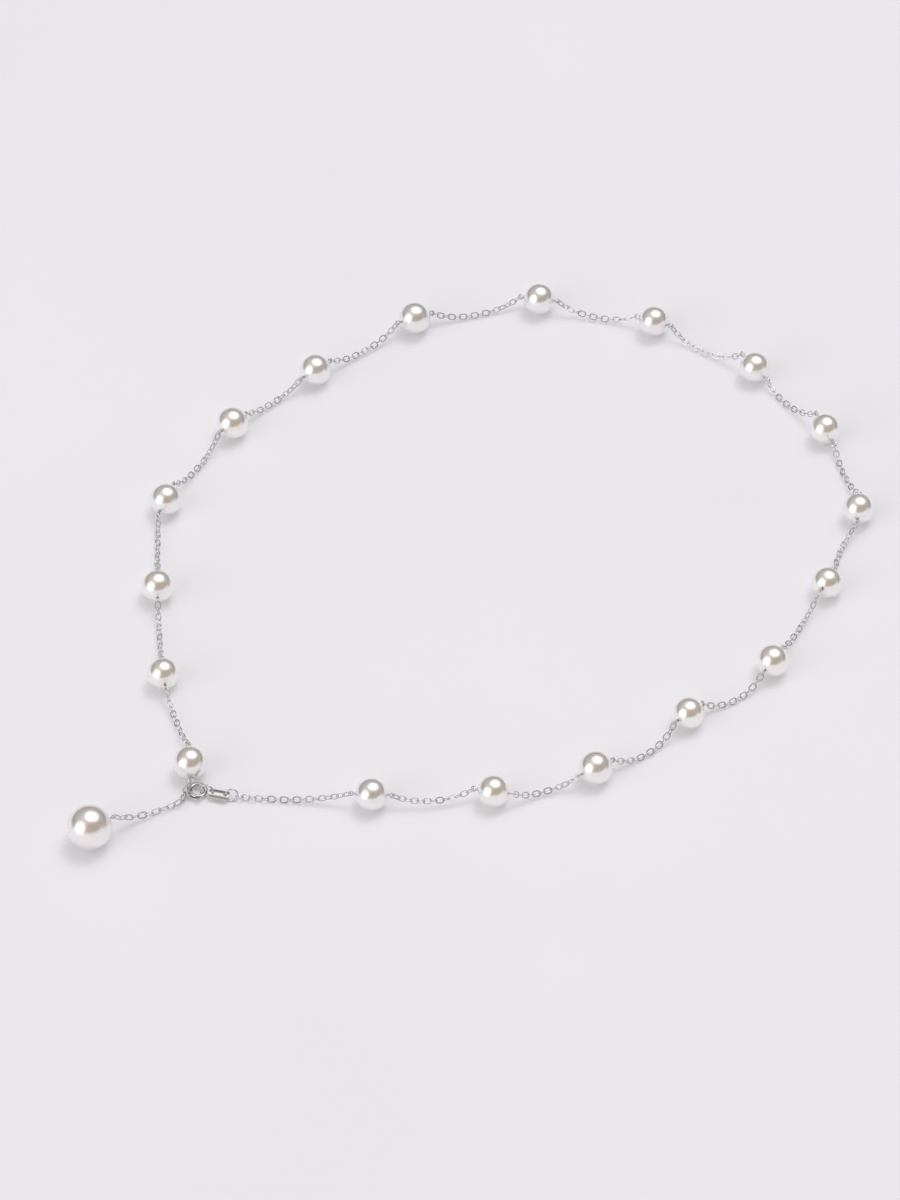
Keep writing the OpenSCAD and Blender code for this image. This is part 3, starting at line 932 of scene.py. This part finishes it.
# %% [markdown]
# ## The pearls
# A cultured pearl is almost a ball, drilled through its middle. Its profile, from
# the rim of the hole round the skin to the other rim and back through the bore,
# is turned about the wire pin. The large pearl's bore ends inside, so its far
# side is whole. The rim is eased as a drill leaves it, and the skin is moved in
# by up to two or three hundredths of a millimetre in soft waves, so no two pearls
# are quite the same. A map round and along the pin carries the bands.
#
# A ready-made sphere would be quicker, but it has no hole. Turning a profile puts
# the rims of the hole where a sphere has its poles.

# %% The profile of a pearl
HOLE, EASE = 0.58 * MM, 0.05 * MM  # the bore, and how much its rim is rounded off
ROUND, LONG, DEEP = 64, 44, 4  # steps round the pearl, from rim to rim, and down the bore


def pearl_profile(radius, depth):
    """Points (along the pin, away from it) of skin and bore, which goes through without a depth."""
    rim = HOLE / 2
    edge = math.asin((rim + EASE) / radius)
    first, span = (0, math.pi - edge) if depth else (edge, math.pi - 2 * edge)
    turns = [first + span * i / LONG for i in range(LONG + 1)]
    inside = radius * math.cos(edge) - EASE
    bottom = radius - depth if depth else -inside
    bore = [(inside + (bottom - inside) * i / DEEP, rim) for i in range(DEEP + 1)]
    if depth:
        bore.append((bottom, 0))
    return [(-radius * math.cos(t), radius * math.sin(t)) for t in turns] + bore


print("a pearl's profile has", len(pearl_profile(PEARL / 2, 0)), "points")

# %% Turn a profile into a pearl
UNEVEN = 0.007  # the deepest hollow, as a share of the radius
WAVES = 0.9  # noise steps in one radius
SKIN_FROM = HOLE / 2 + 0.01 * MM  # nearer to the pin is the bore, which stays true


def turn_pearl(name, s, material, seed, depth=0):
    """A drilled pearl on its station."""
    radius, ahead = size_of(s) / 2, pin_way(s)
    side = level(ahead)
    over = ahead.cross(side)
    profile = pearl_profile(radius, depth)
    shape = bmesh.new()
    carry = shape.loops.layers.uv.new("round_the_pin")
    rows = []
    for i in range(ROUND):
        turn = 2 * math.pi * i / ROUND
        out = side * math.cos(turn) + over * math.sin(turn)
        row = []
        for x, r in profile:
            p = ahead * x + out * r
            if r > SKIN_FROM:
                wave = noise.noise(p / radius * WAVES + Vector((seed * 3.1, 7.7, -seed)))
                p *= 1 - UNEVEN * (0.5 + 0.5 * wave) * (r / radius)
            row.append(shape.verts.new(middle_of(s) + p))
        rows.append(row)
    for i in range(ROUND):
        for j in range(len(profile) - (1 if depth else 0)):
            k = (j + 1) % len(profile)
            here, there = rows[i], rows[(i + 1) % ROUND]
            face = shape.faces.new((here[j], here[k], there[k], there[j]))
            face.smooth = True
            for loop, (u, v) in zip(face.loops, ((i, j), (i, j + 1), (i + 1, j + 1), (i + 1, j))):
                loop[carry].uv = (u / ROUND, v / len(profile))
    bmesh.ops.remove_doubles(shape, verts=shape.verts, dist=0.001 * MM)
    bmesh.ops.recalc_face_normals(shape, faces=shape.faces)
    mesh = bpy.data.meshes.new(name)
    shape.to_mesh(mesh)
    shape.free()
    mesh.materials.append(material)
    piece = bpy.data.objects.new(name, mesh)
    bpy.context.scene.collection.objects.link(piece)
    return piece


print("the skin is moved in by up to", UNEVEN * 100, "percent")

# %% All the pearls
pearls = {}
for i, s in enumerate(STATIONS):
    pearls[f"pearl_{i + 1:02d}"] = turn_pearl(f"nacre_pearl_{i + 1:02d}", s, PEARL_LOOKS[s[5]], i)
pearls["drop_pearl"] = turn_pearl("nacre_pearl_drop", DROP, PEARL_LOOKS[DROP[5]], 30, PEG_HOLE)
print(len(pearls), "pearls, each strand pearl of", len(pearls["pearl_01"].data.polygons), "faces")

# %% [markdown]
# ## Fitting the pieces to the solids
# Each piece stands for its solid and rides on the body that the solid belongs
# to. Only the tongue moves: a thumb on its knob slides it back into the tube.

# %% Ride and replace
for node, piece in {**pins, **rings, **clasp}.items():
    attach(piece, "tongue" if node == "clasp_tongue" else "necklace")
    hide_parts(node)
for node, piece in chains.items():
    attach(piece, "necklace")
    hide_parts(node)
for (node, piece), s in zip(pearls.items(), [*STATIONS, DROP]):
    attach(piece, "necklace")
    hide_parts(node)
print(len({**pins, **rings, **clasp, **chains, **pearls}), "pieces stand for their solids")

# %% [markdown]
# The dressed necklace has to lie in the same box as its solids, so the box of the
# pieces is measured.

# %% Measure the pieces
low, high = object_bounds()
print("pieces, mm:", [round(v / MM, 2) for v in high - low])
